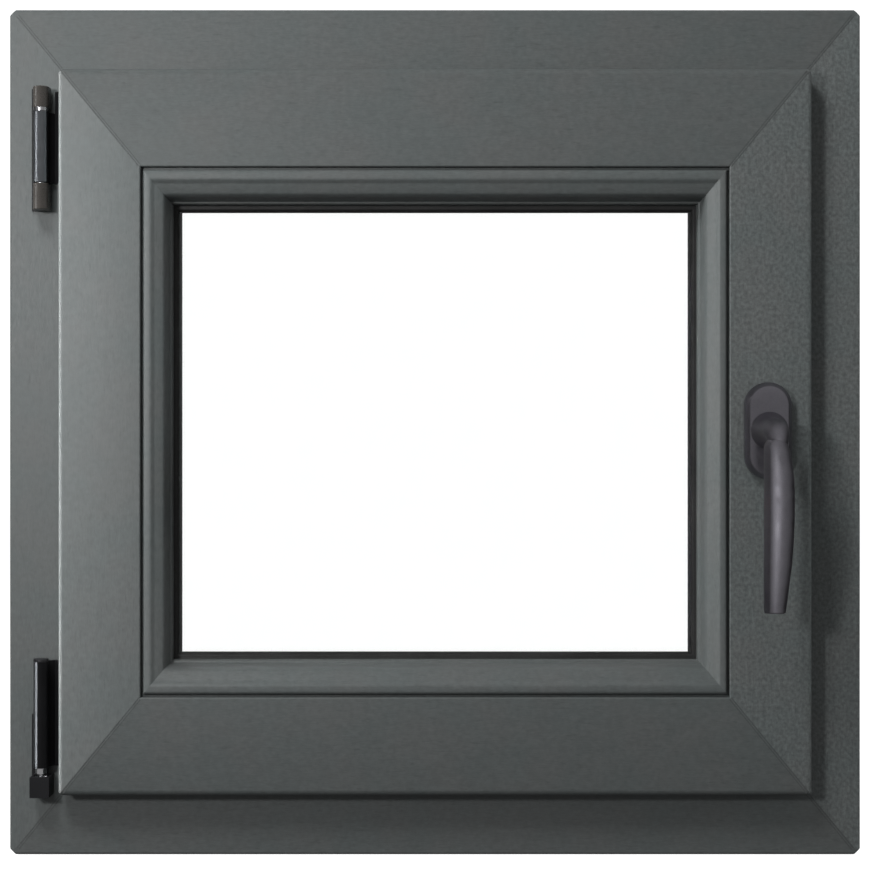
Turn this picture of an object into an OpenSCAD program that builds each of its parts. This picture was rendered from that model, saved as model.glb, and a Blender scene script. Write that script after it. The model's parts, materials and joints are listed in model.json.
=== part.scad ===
// Tilt-and-turn casement window: mitred PVC frame and overlapping sash with steel inside them,
// a sealed double-glazed unit held by clip-in beads, and the perimeter hardware that a single
// lever handle drives. It opens two ways: turned about its side hinges, or tilted in at the top.
// X runs to the right seen from the room, Y away from the room, Z up.
// The origin is the middle of the sill's underside, at mid-depth of the outer frame.

/* [Window] */
// Width of the outer frame
window_w = 600; // [480:5:1000]
// Height of the outer frame
window_h = 596; // [480:4:1200]
// Rail height over stile width, the slope of every mitre
mitre_ratio = 1.193; // [1:0.001:1.25]

/* [Outer frame] */
// Depth of the outer frame, room face to weather face
frame_d = 70; // [66:1:84]
// Stile width from the outer edge to the rebate floor
frame_face = 43.7; // [40:0.1:56]
// Height of the weather-side leg above the rebate floor
frame_leg_h = 20; // [17:0.5:22]
// Thickness of the weather-side leg
frame_leg_t = 16; // [12:0.5:20]
// Cut-off at the frame's outer corners
frame_chamfer = 4.5; // [0.5:0.5:8]
// Outer wall of the hollow profiles
wall = 2.8; // [2.2:0.1:3.2]
// Rounding of the frame's visible edges
frame_round = 1.6; // [0.5:0.1:3]

/* [Sash] */
// How far the sash lip overlaps the frame's face
lip_overlap = 6; // [5:0.5:8]
// Gap between the sash lip and the frame's face
lip_gap = 3.5; // [3.2:0.1:5]
// Thickness of the sash lip
lip_t = 16.5; // [14:0.5:20]
// Gap between the frame's rebate floor and the sash's edge
rebate_gap = 12; // [11:0.5:13]
// Width of the sash stile's face, from lip edge to bead
sash_face_w = 57.4; // [52:0.1:75]
// Gap between the sash's back and the frame's leg
seal_gap = 4; // [3.5:0.5:6]
// Thickness of the fixed glass stop on the weather side
stop_t = 12; // [10:0.5:14]
// Height of the fixed glass stop
stop_h = 20.9; // [18:0.1:24]
// Rounding of the lip's front edge
lip_round = 3.5; // [1:0.5:5]
// Cut-off at the sash's outer corners
sash_chamfer = 3; // [0.5:0.5:6]

/* [Glazing] */
// Thickness of one glass pane
pane_t = 4; // [4:1:6]
// Width of the sealed cavity between the panes
cavity_t = 16; // [12:1:18]
// Thickness of the glazing gaskets
gasket_t = 3; // [2.5:0.5:4]
// Gap between the glass edge and the glazing rebate
edge_gap = 4.9; // [4:0.1:6]
// Width of the glazing bead over a stile
bead_w = 19.5; // [17:0.5:22]
// Width of the shadow groove between sash and bead
bead_groove = 1.6; // [1:0.1:3]
// How far the bead's gasket shows past the bead
gasket_show = 3.5; // [2:0.5:4]

/* [Perimeter hardware] */
// Distance of the hardware groove's middle behind the frame's face
groove_back = 9.5; // [9.5:0.5:11]
// Width of the faceplates
plate_w = 16; // [16:1:18]
// Thickness of the faceplates
plate_t = 2.6; // [2.4:0.1:3]
// Width of the sliding drive rods
rod_w = 9; // [8:0.5:9]
// Thickness of the sliding drive rods
rod_t = 1.9; // [1.6:0.1:2.2]
// Radius of the locking cams
cam_r = 3.1; // [2.8:0.1:3.2]
// Distance of the upper locking cam below the top of the frame
cam_drop = 101; // [100:1:104]
// Number of teeth on the drive pinion
pinion_teeth = 15; // [15:1:16]
// Module of the pinion and rack teeth
tooth_m = 1; // [0.8:0.1:1]
// Height of the handle's axis above the sill
handle_z = 299; // [200:1:500]

/* [Hinges and stay] */
// Distance of the hinge axis from the frame's outer edge
hinge_in = 24.3; // [20:0.1:26]
// Distance of the hinge axis in front of the frame's face
hinge_out = 11; // [11:0.5:13]
// Height of the tilt axis above the sash's bottom edge
tilt_up = 6.1; // [5.5:0.1:6.5]
// Outer radius of the hinge barrels
barrel_r = 5.2; // [4.8:0.1:5.6]
// Radius of the hinge pins
hinge_pin_r = 3; // [2.5:0.1:3]
// Length of the lower hinge barrel
lower_barrel_l = 74.3; // [60:0.1:90]
// Length of the stay arm from the hinge axis to its slider
stay_len = 212; // [190:1:230]

/* [Handle] */
// Length of the lever below its axis
lever_l = 123; // [110:1:140]
// Distance of the grip's middle from the sash face
grip_out = 48; // [42:1:55]
// Width of the rosette
rosette_w = 32.5; // [30:0.5:36]
// Height of the rosette
rosette_h = 67; // [64:1:72]
// Depth of the rosette
rosette_t = 11; // [10:0.5:13]
// Side of the square spindle
spindle_s = 7; // [7:0.5:8]
// Distance between the two handle screws
handle_screw_gap = 43; // [43:1:44]

/* [Wall fixings] */
// Radius of the frame fixing holes
fix_r = 3.8; // [3:0.1:5.2]
// Distance of the fixing holes from the frame's corners
fix_end = 150; // [130:5:180]

/* [Hidden] */
$fn = 48;

foil_colour = "#545857";
foil_shade = "#4a4e4d";
gasket_colour = "#141414";
steel_colour = "#8d9196";
dark_metal = "#26282a";
handle_colour = "#5b5a60";

k = mitre_ratio;
eps = 0.05;          // how far a cut runs past the face it opens
far = 400;           // longer than any cut through the depth has to be
slide_clear = 0.3;   // gap between sliding or swinging pieces
run_clear = 0.05;    // radial clearance of a pin in its bore
screw_clear = 0.05;  // radial clearance of a screw in its hole
web = 2;             // inner walls of the hollow profiles
thin_web = 2.4;      // wall between the lip's chamber and the one beside it

// Depths, from the room to the weather side
room_y = -frame_d / 2;
weather_y = frame_d / 2;
leg_y = weather_y - frame_leg_t;
lip_y = room_y - lip_gap;
face_y = lip_y - lip_t;
back_y = leg_y - seal_gap;
stop_y = back_y - stop_t;
glass_out_y = stop_y - gasket_t;
glass_in_y = glass_out_y - 2 * pane_t - cavity_t;
bead_back_y = glass_in_y - gasket_t;
groove_y = room_y + groove_back;

// Distances inward from the frame's outer edge, over a stile; a rail has them times k
lip_u = frame_face - lip_overlap;
sash_u = frame_face + rebate_gap;
floor_u = lip_u + sash_face_w;
bead_u = floor_u + bead_w;
sight_u = bead_u + gasket_show;
glass_u = floor_u + edge_gap;
stop_u = floor_u + stop_h;
leg_u = frame_face + frame_leg_h;

// Planes of the sash's hardware grooves and of the rebate floor behind them
lock_x = window_w / 2 - sash_u;
top_z = window_h - sash_u * k;
bottom_z = sash_u * k;
side_gap = rebate_gap;
rail_gap = rebate_gap * k;

gasket_w = 5;        // seat of a glazing gasket on the glass

// Steel reinforcement
steel_t = 1.5;
steel_clear = 0.3;
chamber_gap = 0.5;   // side play of the steel's chamber over a stile
frame_steel = [wall + chamber_gap, frame_face - wall - chamber_gap, room_y + 18.5, leg_y - 3];
sash_steel = [
    sash_u + wall + chamber_gap, floor_u - wall - chamber_gap,
    groove_y + plate_w / 2 + web, back_y - wall
];

// Hardware groove
channel_w = 12;
channel_d = 9.2;
rod_gap = 0.2;
rod_back = plate_t + rod_gap;
corner_leg = 76;
cam_reach_gap = 3.5;   // from a cam's end to the frame
keep_reach_gap = 4.2;  // from a keep's edge to the sash
keep_base_t = 2.5;
hook_t = 2;
screw_r = 2;
screw_head_r = 3.5;
screw_head_h = 1.5;
keep_screw_l = 15;
keep_screw_in = 4.5;     // from a keep's end to its screw
bearing_screw_l = 7.5;
plate_screw_r = 1.6;
plate_screw_head_r = 2.8;
plate_screw_head_h = 1.2;
plate_screw_l = 16;
hinge_screw_l = 10;
handle_screw_r = 2.5;
handle_screw_head_r = 4.4;
handle_screw_head_h = 2.4;
head_taper = 0.1;        // what a countersink has over the head in it

// Drive gear
pinion_r = tooth_m * pinion_teeth / 2;
rack_pitch = PI * tooth_m;
rack_tip = 0.85 * tooth_m;
tooth_root = 1.2 * tooth_m;
tooth_play = 0.3;
pressure = 20;
rod_travel = PI * pinion_r;           // half a turn of the handle
rack_pitch_x = lock_x - rod_back - rod_t - tooth_root;
handle_x = rack_pitch_x - pinion_r;
pinion_w = 8;
hub_r = 5.5;
case_wall = 1.2;
case_half = 27;
case_hollow = 15;
case_back = pinion_r + tooth_m + slide_clear + case_wall;

// Cam places along their grooves, with the way each one slides when the handle is turned
lock_cam_z = window_h - cam_drop;
top_cam_x = 60;
bottom_cam_x = lock_x - 39.3;

// Hinge axis, and the pieces stacked along it
hinge_x = hinge_in - window_w / 2;
hinge_y = room_y - hinge_out;
tilt_z = lip_u * k + tilt_up;
bearing_z0 = tilt_z - 8;
bearing_z1 = tilt_z + 6.4;
bearing_half = 6.75;     // half the block's width
bearing_floor = 2;       // solid bottom under the turret
bearing_back_up = 42;    // the block's back plate above the block
turret_drop = 0.4;       // turret's top below the block's
lower_barrel_z = tilt_z + 12.2;
turret_r = 5.2;
trunnion_r = 3;
trunnion_l = 8;
neck_r = 2;
collar_up = 8.2;         // from the tilt axis to the collar on the pin
leaf_t = 2.5;
leaf_gap = 0.5;          // from a leaf to the frame's face
bearing_plate_t = 2;
bearing_plate = [-8.3, 3];
upper_top_z = window_h - 56.2;
cap_l = 14.8;
lower_cap_l = 18.3;
upper_bottom_z = window_h - 142.3;
collar_l = 2.5;
upper_barrel_z0 = upper_bottom_z + lower_cap_l + 0.7;
upper_barrel_z1 = upper_top_z - cap_l - collar_l - 0.2;
knuckle_r = 4.5;
cap_wall = 1;
cap_plug = 3.7;          // plug of the lower barrel's cap
cap_top = 2;
knuckle_floor = cap_wall + 1;
leaf_start = 8.2;
side_leaf = frame_face - hinge_in;      // hinge axis to the frame's rebate floor
sash_side = sash_u - hinge_in;          // hinge axis to the sash's edge
arm_z = top_z + 5;
arm_t = 3;
arm_w = 12;
slider_r = 3;
slider_clear = 1.3;
slider_run = 18;         // how far the slider moves towards the hinges as the sash tilts
slider_reach = 15.2;     // from the arm's underside down into the channel
stay_x = hinge_x + stay_len;
guide_span = [stay_x - slider_run - 20, stay_x + 18];
leaf_notch = 1.5;        // gap that a gasket leaves beside a leaf

// Handle
rosette_wall = 2;
base_t = 3;
neck_r_big = 11.75;
neck_r_small = 8.5;
sleeve_r = 7.5;
grip_t = 13;

// Fixings and drainage
fix_y = (frame_steel[2] + frame_steel[3]) / 2;
drain_x = 150;
drain_w = 36;
drain_h = 14;

// ---------- outlines ----------

// Points of an arc in a section: u and y of its middle, stretched by s along u
function arc(u, y, r, from, to, s, n = 8) =
    [for (i = [0:n]) let (a = from + (to - from) * i / n) [(u + r * cos(a)) * s, y + r * sin(a)]];

// A point of a section, stretched by s along u
function at(u, y, s) = [u * s, y];

module rect(u0, u1, y0, y1, s) {
    translate([u0 * s, y0]) square([(u1 - u0) * s, y1 - y0]);
}

module frame_outline(s) {
    polygon(concat(
        arc(frame_round, room_y + frame_round, frame_round, 180, 270, s),
        arc(frame_face - frame_round, room_y + frame_round, frame_round, 270, 360, s),
        [at(frame_face, leg_y, s), at(leg_u - 3, leg_y, s)],
        arc(leg_u - frame_round, leg_y + 4 + frame_round, frame_round, -60, 0, s, 4),
        arc(leg_u - frame_round, weather_y - frame_round, frame_round, 0, 90, s),
        arc(frame_round, weather_y - frame_round, frame_round, 90, 180, s)
    ));
}

module frame_section(s) {
    difference() {
        frame_outline(s);
        rect(wall, frame_face - wall, room_y + wall, frame_steel[2] - web, s);
        rect(frame_steel[0] - chamber_gap, frame_steel[1] + chamber_gap, frame_steel[2], frame_steel[3], s);
        rect(wall, leg_u - wall - 1, leg_y + wall, weather_y - wall, s);
    }
}

module sash_outline(s) {
    polygon(concat(
        arc(lip_u + lip_round, face_y + lip_round, lip_round, 180, 270, s),
        arc(floor_u - 1, face_y + 1, 1, 270, 360, s),
        [at(floor_u, stop_y, s), at(stop_u - 2, stop_y, s), at(stop_u, stop_y + 3, s)],
        arc(stop_u - frame_round, back_y - frame_round, frame_round, 0, 90, s),
        arc(sash_u + frame_round, back_y - frame_round, frame_round, 90, 180, s),
        [at(sash_u, lip_y, s)],
        arc(lip_u + 1, lip_y - 1, 1, 90, 180, s)
    ));
}

// The hardware groove keeps its own depth on stiles and rails
module groove_section(s) {
    edge = sash_u * s;
    translate([edge - eps, groove_y - plate_w / 2]) square([plate_t + eps, plate_w]);
    translate([edge, groove_y - channel_w / 2]) square([channel_d + plate_t, channel_w]);
}

module sash_section(s) {
    behind = sash_u + channel_d + plate_t + web;
    front_y = groove_y - plate_w / 2 - web;
    difference() {
        sash_outline(s);
        rect(lip_u + wall, sash_u - thin_web / 2, face_y + wall, lip_y - wall, s);
        rect(sash_u + thin_web / 2, floor_u - wall, face_y + wall, front_y, s);
        rect(behind, floor_u - wall, front_y + web, sash_steel[2] - web, s);
        rect(sash_steel[0] - chamber_gap, sash_steel[1] + chamber_gap, sash_steel[2], sash_steel[3], s);
        rect(floor_u, stop_u - wall, stop_y + wall, back_y - wall, s);
        groove_section(s);
    }
}

// The bead's room side: a rounded top edge, then a cove that runs down to the glass
module bead_section(s) {
    top_y = face_y + 0.5;
    top_r = 2.6;
    start_u = floor_u + bead_groove;
    cove_w = bead_u - start_u - 2 * top_r;
    cove_h = bead_back_y - top_y - top_r - 6.5;
    cove = [for (i = [0:14]) let (a = i * 6)
        at(start_u + 2 * top_r + cove_w * (1 - cos(a)), top_y + top_r + cove_h * sin(a), s)];
    polygon(concat(
        [at(floor_u, bead_back_y, s), at(floor_u, face_y + 5, s), at(start_u, face_y + 5, s)],
        arc(start_u + top_r, top_y + top_r, top_r, 180, 350, s, 10),
        cove,
        arc(bead_u - 1, bead_back_y - 5, 1, -70, 0, s, 4),
        [at(bead_u, bead_back_y, s)]
    ));
}

// ---------- mitred members ----------

// Ends of a member whose outer edge lies outer in from the frame's, cut off by c at the corners
module stile_block(outer, inner, c) {
    t = outer + c / (1 + k);
    rotate([90, 0, 0]) linear_extrude(far, center = true) polygon([
        [outer, outer * k + c], [t, t * k], [inner, inner * k],
        [inner, window_h - inner * k], [t, window_h - t * k], [outer, window_h - outer * k - c]
    ]);
}

module rail_block(outer, inner, c) {
    t = outer + c / (1 + k);
    rotate([90, 0, 0]) linear_extrude(far, center = true) polygon([
        [outer + c, outer * k], [t, t * k], [inner, inner * k],
        [window_w - inner, inner * k], [window_w - t, t * k], [window_w - outer - c, outer * k]
    ]);
}

// A stile on the hinge side, from the section drawn as its child
module stile(outer, inner, c) {
    translate([-window_w / 2, 0, 0]) intersection() {
        linear_extrude(window_h) children();
        stile_block(outer, inner, c);
    }
}

// A rail at the bottom, from the section drawn as its child
module rail(outer, inner, c) {
    translate([-window_w / 2, 0, 0]) intersection() {
        translate([window_w, 0, 0]) rotate([0, -90, 0]) linear_extrude(window_w) children();
        rail_block(outer, inner, c);
    }
}

module to_lock_side() {
    mirror([1, 0, 0]) children();
}

module to_top() {
    translate([0, 0, window_h]) mirror([0, 0, 1]) children();
}

// A solid rectangle inside the window, u in from its outer edge
module slab(u, y0, y1) {
    translate([u - window_w / 2, y0, u * k]) cube([window_w - 2 * u, y1 - y0, window_h - 2 * u * k]);
}

// A closed ring between two distances from the outer edge
module ring(u0, u1, y0, y1) {
    difference() {
        slab(u0, y0, y1);
        slab(u1, y0 - 1, y1 + 1);
    }
}

// ---------- places for hardware ----------
// In each place X runs along the groove, Z out of the sash into the rebate, -Y to the room.

module on_lock() {
    translate([lock_x, groove_y, 0]) mirror([1, 0, -1]) children();
}

module on_top() {
    translate([0, groove_y, top_z]) children();
}

module on_bottom() {
    translate([0, groove_y, bottom_z]) mirror([0, 0, 1]) children();
}

module groove_plate(from, to) {
    translate([from, -plate_w / 2, -plate_t]) cube([to - from, plate_w, plate_t]);
}

module groove_rod(from, to) {
    translate([from, -rod_w / 2, -rod_back - rod_t]) cube([to - from, rod_w, rod_t]);
}

module groove_cam(place, gap) {
    translate([place, 0, -rod_back]) cylinder(r = cam_r, h = rod_back + gap - cam_reach_gap - 1);
    translate([place, 0, gap - cam_reach_gap - 1]) cylinder(r1 = cam_r, r2 = cam_r - 0.8, h = 1);
}

// Slot that lets a cam slide dir times the rod's travel from its place
module cam_slot(place, dir) {
    r = cam_r + 0.4;
    for (x = [place, place + dir * rod_travel]) {
        translate([x, 0, -plate_t - 1]) cylinder(r = r, h = plate_t + 2);
    }
    translate([min(place, place + dir * rod_travel), -r, -plate_t - 1])
        cube([rod_travel, 2 * r, plate_t + 2]);
}

// Striker on the rebate floor: each span in hooks is a wall on the room side of the cam
module keep(place, gap, play, hooks, half) {
    front = cam_r + play;
    difference() {
        union() {
            translate([place - half, -front - hook_t, gap - keep_base_t])
                cube([2 * half, 2 * front + hook_t, keep_base_t]);
            for (h = hooks) {
                translate([place + h[0], -front - hook_t, keep_reach_gap])
                    cube([h[1] - h[0], hook_t, gap - keep_reach_gap]);
            }
        }
        keep_holes(place, gap, half);
    }
}

module keep_holes(place, gap, half) {
    for (x = [place - half + keep_screw_in, place + half - keep_screw_in]) {
        translate([x, 0, gap - keep_base_t - eps])
            cylinder(r1 = screw_head_r + eps, r2 = screw_r, h = screw_head_h + head_taper);
        translate([x, 0, gap - keep_base_t]) cylinder(r = screw_r + screw_clear, h = keep_screw_l + 3);
    }
}

module keep_screw_pair(place, gap, half) {
    for (x = [place - half + keep_screw_in, place + half - keep_screw_in]) {
        translate([x, 0, gap - keep_base_t]) {
            cylinder(r1 = screw_head_r - head_taper, r2 = screw_r - head_taper, h = screw_head_h);
            cylinder(r = screw_r, h = keep_screw_l);
        }
    }
}

lock_hooks = [[-3, 9]];
head_hooks = [[-9, 3]];
tilt_hooks = [[-4, 7], [-rod_travel - 7, -rod_travel + 4]];
keep_play = 0.3;
tilt_play = 3.4;
keep_half = 17;
tilt_half = 19;
tilt_keep_shift = -12;

// ---------- outer frame ----------

module jamb_fixings() {
    for (z = [fix_end, window_h - fix_end]) {
        translate([-window_w / 2 - 1, fix_y, z]) rotate([0, 90, 0]) cylinder(r = fix_r, h = frame_face + 2);
    }
}

module frame_head() {
    color(foil_shade) difference() {
        to_top() rail(0, leg_u, frame_chamfer) frame_section(k);
        on_top() keep_holes(top_cam_x, rail_gap, keep_half);
    }
}

module frame_sill() {
    color(foil_shade) difference() {
        rail(0, leg_u, frame_chamfer) frame_section(k);
        on_bottom() keep_holes(bottom_cam_x + tilt_keep_shift, rail_gap, tilt_half);
        drain_slots();
    }
}

module frame_hinge_jamb() {
    color(foil_colour) difference() {
        stile(0, leg_u, frame_chamfer) frame_section(1);
        jamb_fixings();
        bearing_holes(screw_r + screw_clear);
    }
}

module frame_lock_jamb() {
    color(foil_colour) difference() {
        to_lock_side() stile(0, leg_u, frame_chamfer) frame_section(1);
        to_lock_side() jamb_fixings();
        on_lock() keep_holes(lock_cam_z, side_gap, keep_half);
    }
}

// Rectangular steel tubes, square cut, a little short of the mitres
module steel_stile(span) {
    end = (span[1] + 2) * k;
    translate([span[0] + steel_clear - window_w / 2, span[2] + steel_clear, end]) difference() {
        cube([span[1] - span[0] - 2 * steel_clear, span[3] - span[2] - 2 * steel_clear, window_h - 2 * end]);
        translate([steel_t, steel_t, -1]) cube([
            span[1] - span[0] - 2 * steel_clear - 2 * steel_t,
            span[3] - span[2] - 2 * steel_clear - 2 * steel_t,
            window_h
        ]);
    }
}

module steel_rail(span) {
    end = span[1] + 2;
    low = span[0] * k + steel_clear;
    high = span[1] * k - steel_clear;
    translate([end - window_w / 2, span[2] + steel_clear, low]) difference() {
        cube([window_w - 2 * end, span[3] - span[2] - 2 * steel_clear, high - low]);
        translate([-1, steel_t, steel_t]) cube([
            window_w,
            span[3] - span[2] - 2 * steel_clear - 2 * steel_t,
            high - low - 2 * steel_t
        ]);
    }
}

module frame_reinforcement() {
    color(steel_colour) {
        difference() {
            steel_stile(frame_steel);
            jamb_fixings();
        }
        to_lock_side() difference() {
            steel_stile(frame_steel);
            jamb_fixings();
        }
        steel_rail(frame_steel);
        to_top() steel_rail(frame_steel);
    }
}

module frame_outer_gasket() {
    u = (sash_u + leg_u - 3) / 2;
    color(gasket_colour) ring(u - 1.8, u + 1.8, back_y + slide_clear, leg_y);
}

module drain_slots() {
    for (x = [-drain_x, drain_x]) {
        translate([x - drain_w / 2 + 4, weather_y - wall - 1, leg_u * k / 2 - 2.5])
            cube([drain_w - 8, wall + 2, 5]);
    }
}

module drain_caps() {
    color(dark_metal) for (x = [-drain_x, drain_x]) {
        translate([x, weather_y, leg_u * k / 2]) difference() {
            translate([-drain_w / 2, 0, -drain_h / 2]) cube([drain_w, 4, drain_h]);
            translate([-drain_w / 2 + 1.5, -1, -drain_h / 2 - 1]) cube([drain_w - 3, 3.5, drain_h - 0.5]);
        }
    }
}

module lock_keep() {
    color(steel_colour) on_lock() keep(lock_cam_z, side_gap, keep_play, lock_hooks, keep_half);
}

module head_keep() {
    color(steel_colour) on_top() keep(top_cam_x, rail_gap, keep_play, head_hooks, keep_half);
}

module tilt_keep() {
    shifted = [for (h = tilt_hooks) [h[0] - tilt_keep_shift, h[1] - tilt_keep_shift]];
    color(steel_colour) on_bottom()
        keep(bottom_cam_x + tilt_keep_shift, rail_gap, tilt_play, shifted, tilt_half);
}

module keep_screws() {
    color("silver") {
        on_lock() keep_screw_pair(lock_cam_z, side_gap, keep_half);
        on_top() keep_screw_pair(top_cam_x, rail_gap, keep_half);
        on_bottom() keep_screw_pair(bottom_cam_x + tilt_keep_shift, rail_gap, tilt_half);
    }
}

// ---------- hinges ----------
// In hinge space the axis is the Z axis and the frame's face lies at Y = hinge_out.

module at_hinge() {
    translate([hinge_x, hinge_y, 0]) children();
}

bearing_screw_x = (bearing_plate[0] + bearing_plate[1]) / 2;
bearing_screw_z = [
    bearing_z1 + 14, bearing_z1 + 34,
    upper_bottom_z + lower_cap_l + 10, upper_top_z - cap_l - 14
];

module bearing_holes(r) {
    at_hinge() for (z = bearing_screw_z) {
        translate([bearing_screw_x, hinge_out + 6, z]) rotate([90, 0, 0]) cylinder(r = r, h = 12);
    }
}

module bearing_back(z0, z1) {
    translate([bearing_plate[0], hinge_out - bearing_plate_t, z0])
        cube([bearing_plate[1] - bearing_plate[0], bearing_plate_t, z1 - z0]);
}

module bearing_sinks() {
    at_hinge() for (z = bearing_screw_z) {
        translate([bearing_screw_x, hinge_out - bearing_plate_t - eps, z]) rotate([-90, 0, 0])
            cylinder(r1 = screw_head_r + eps, r2 = screw_r, h = screw_head_h + head_taper);
    }
}

module bearing_screws() {
    color("silver") at_hinge() for (z = bearing_screw_z) {
        translate([bearing_screw_x, hinge_out - bearing_plate_t, z]) rotate([-90, 0, 0]) {
            cylinder(r1 = screw_head_r - head_taper, r2 = screw_r - head_taper, h = screw_head_h);
            cylinder(r = screw_r, h = bearing_screw_l);
        }
    }
}

// Block on the frame that carries the sash's weight, bored for the turret
module corner_bearing() {
    front = turret_r + 1.8;
    color(dark_metal) difference() {
        at_hinge() difference() {
            union() {
                bearing_back(bearing_z0, bearing_z1 + bearing_back_up);
                translate([-bearing_half, -front, bearing_z0])
                    cube([2 * bearing_half, hinge_out + front, bearing_z1 - bearing_z0]);
            }
            translate([0, 0, bearing_z0 + bearing_floor]) cylinder(r = turret_r + run_clear, h = far);
        }
        bearing_holes(screw_r + screw_clear);
        bearing_sinks();
    }
}

// Turret that turns in the block; the cross-bar of the sash's pin lies in it along the tilt axis
module pivot_turret() {
    low = bearing_z0 + bearing_floor - tilt_z;
    high = bearing_z1 - turret_drop - tilt_z;
    mouth_low = trunnion_r / 3;
    color(steel_colour) translate([hinge_x, hinge_y, tilt_z]) difference() {
        translate([0, 0, low]) cylinder(r = turret_r, h = high - low);
        translate([-trunnion_l / 2 - run_clear, 0, 0]) rotate([0, 90, 0])
            cylinder(r = trunnion_r + run_clear, h = trunnion_l + 2 * run_clear);
        translate([0, 0, mouth_low])
            cylinder(r1 = neck_r + 1.2, r2 = neck_r + 2.3, h = high - mouth_low + eps);
    }
}

// A strap from a barrel, through the gap behind the sash lip, into the rebate
module leaf_strap(z0, z1, reach) {
    inner = hinge_out - leaf_gap - leaf_t;
    outer = hinge_out - leaf_gap;
    translate([0, 0, z0]) linear_extrude(z1 - z0) polygon([
        [0, hinge_pin_r + 1], [0, barrel_r - 0.1], [leaf_start - 1.4, outer],
        [reach, outer], [reach, inner], [leaf_start, inner], [3.4, hinge_pin_r + 0.2]
    ]);
}

module corner_hinge() {
    z0 = lower_barrel_z;
    z1 = lower_barrel_z + lower_barrel_l;
    inner = hinge_out - leaf_gap - leaf_t;
    color("gray") difference() {
        at_hinge() difference() {
            union() {
                translate([0, 0, z0]) cylinder(r = barrel_r, h = lower_barrel_l);
                leaf_strap(z0, z1, sash_side);
                translate([sash_side - side_leaf_t, inner, z0])
                    cube([side_leaf_t, side_leaf_d, lower_barrel_l]);
            }
            translate([0, 0, z0 - 1]) cylinder(r = hinge_pin_r + run_clear, h = lower_barrel_l + 2);
        }
        hinge_screw_shafts(plate_screw_r + screw_clear);
        hinge_screw_sinks();
    }
}

side_leaf_t = 3;
side_leaf_d = 34;
hinge_screw_y = groove_y + plate_w / 2 + 4.5;
hinge_screw_z = [for (i = [1:3]) lower_barrel_z + i * lower_barrel_l * 0.29];

module hinge_screw_shafts(r) {
    for (z = hinge_screw_z) {
        translate([hinge_x + sash_side - side_leaf_t, hinge_screw_y, z]) rotate([0, 90, 0])
            cylinder(r = r, h = hinge_screw_l);
    }
}

module hinge_screw_sinks() {
    for (z = hinge_screw_z) {
        translate([hinge_x + sash_side - side_leaf_t - eps, hinge_screw_y, z]) rotate([0, 90, 0])
            cylinder(r1 = plate_screw_head_r + eps, r2 = plate_screw_r, h = plate_screw_head_h + head_taper);
    }
}

module corner_hinge_screws() {
    color("silver") {
        hinge_screw_shafts(plate_screw_r);
        for (z = hinge_screw_z) {
            translate([hinge_x + sash_side - side_leaf_t, hinge_screw_y, z]) rotate([0, 90, 0]) cylinder(
                r1 = plate_screw_head_r - head_taper,
                r2 = plate_screw_r - head_taper,
                h = plate_screw_head_h
            );
        }
    }
}

// Cross-bar, neck, height-adjusting collar and the shaft in the barrel
module corner_hinge_pin() {
    barrel_up = lower_barrel_z - tilt_z;
    color("silver") translate([hinge_x, hinge_y, tilt_z]) {
        translate([-trunnion_l / 2, 0, 0]) rotate([0, 90, 0]) cylinder(r = trunnion_r, h = trunnion_l);
        cylinder(r = neck_r, h = barrel_up);
        translate([0, 0, collar_up]) cylinder(r = 2 * neck_r, h = barrel_up - collar_up, $fn = 6);
        translate([0, 0, barrel_up]) cylinder(r = hinge_pin_r, h = lower_barrel_l - cap_plug - slide_clear);
    }
}

module corner_hinge_cap() {
    z1 = lower_barrel_z + lower_barrel_l;
    color(gasket_colour) translate([hinge_x, hinge_y, z1]) {
        cylinder(r = barrel_r, h = cap_top);
        translate([0, 0, -cap_plug]) cylinder(r = hinge_pin_r, h = cap_plug);
    }
}

module stay_knuckle(z0, z1) {
    translate([0, 0, z0]) cylinder(r = knuckle_r, h = z1 - z0);
    translate([-knuckle_r, 0, z0]) cube([knuckle_r + bearing_plate[1], hinge_out - bearing_plate_t, z1 - z0]);
}

module stay_bearing() {
    color(dark_metal) difference() {
        at_hinge() difference() {
            union() {
                bearing_back(upper_bottom_z, upper_top_z);
                stay_knuckle(upper_bottom_z + cap_wall, upper_bottom_z + lower_cap_l);
                stay_knuckle(upper_top_z - cap_l, upper_top_z - cap_wall);
            }
            translate([0, 0, upper_bottom_z + knuckle_floor]) cylinder(r = hinge_pin_r + run_clear, h = far);
        }
        bearing_holes(screw_r + screw_clear);
        bearing_sinks();
    }
}

// Pin with a collar under the upper knuckle
module stay_bearing_pin() {
    color("silver") at_hinge() {
        translate([0, 0, upper_bottom_z + knuckle_floor])
            cylinder(r = hinge_pin_r, h = upper_top_z - upper_bottom_z - cap_wall - knuckle_floor);
        translate([0, 0, upper_top_z - cap_l - collar_l]) cylinder(r = barrel_r, h = collar_l);
    }
}

// Moulded covers that clip over the knuckles, open at the back where the bracket comes out
module knuckle_cap(z0, z1, closed_z) {
    r = knuckle_r + cap_wall;
    difference() {
        union() {
            translate([0, 0, z0]) cylinder(r = r, h = z1 - z0);
            translate([-r, 0, z0]) cube([2 * r, hinge_out - bearing_plate_t - slide_clear, z1 - z0]);
        }
        translate([0, 0, z0 + closed_z - 1]) {
            cylinder(r = knuckle_r + eps, h = z1 - z0);
            translate([-knuckle_r - eps, 0, 0]) cube([2 * knuckle_r + 2 * eps, hinge_out, z1 - z0]);
        }
    }
}

module stay_bearing_caps() {
    color("#4a4642") at_hinge() {
        knuckle_cap(upper_bottom_z, upper_bottom_z + lower_cap_l, knuckle_floor);
        translate([0, 0, upper_top_z]) mirror([0, 0, 1]) knuckle_cap(0, cap_l, knuckle_floor);
    }
}

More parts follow.
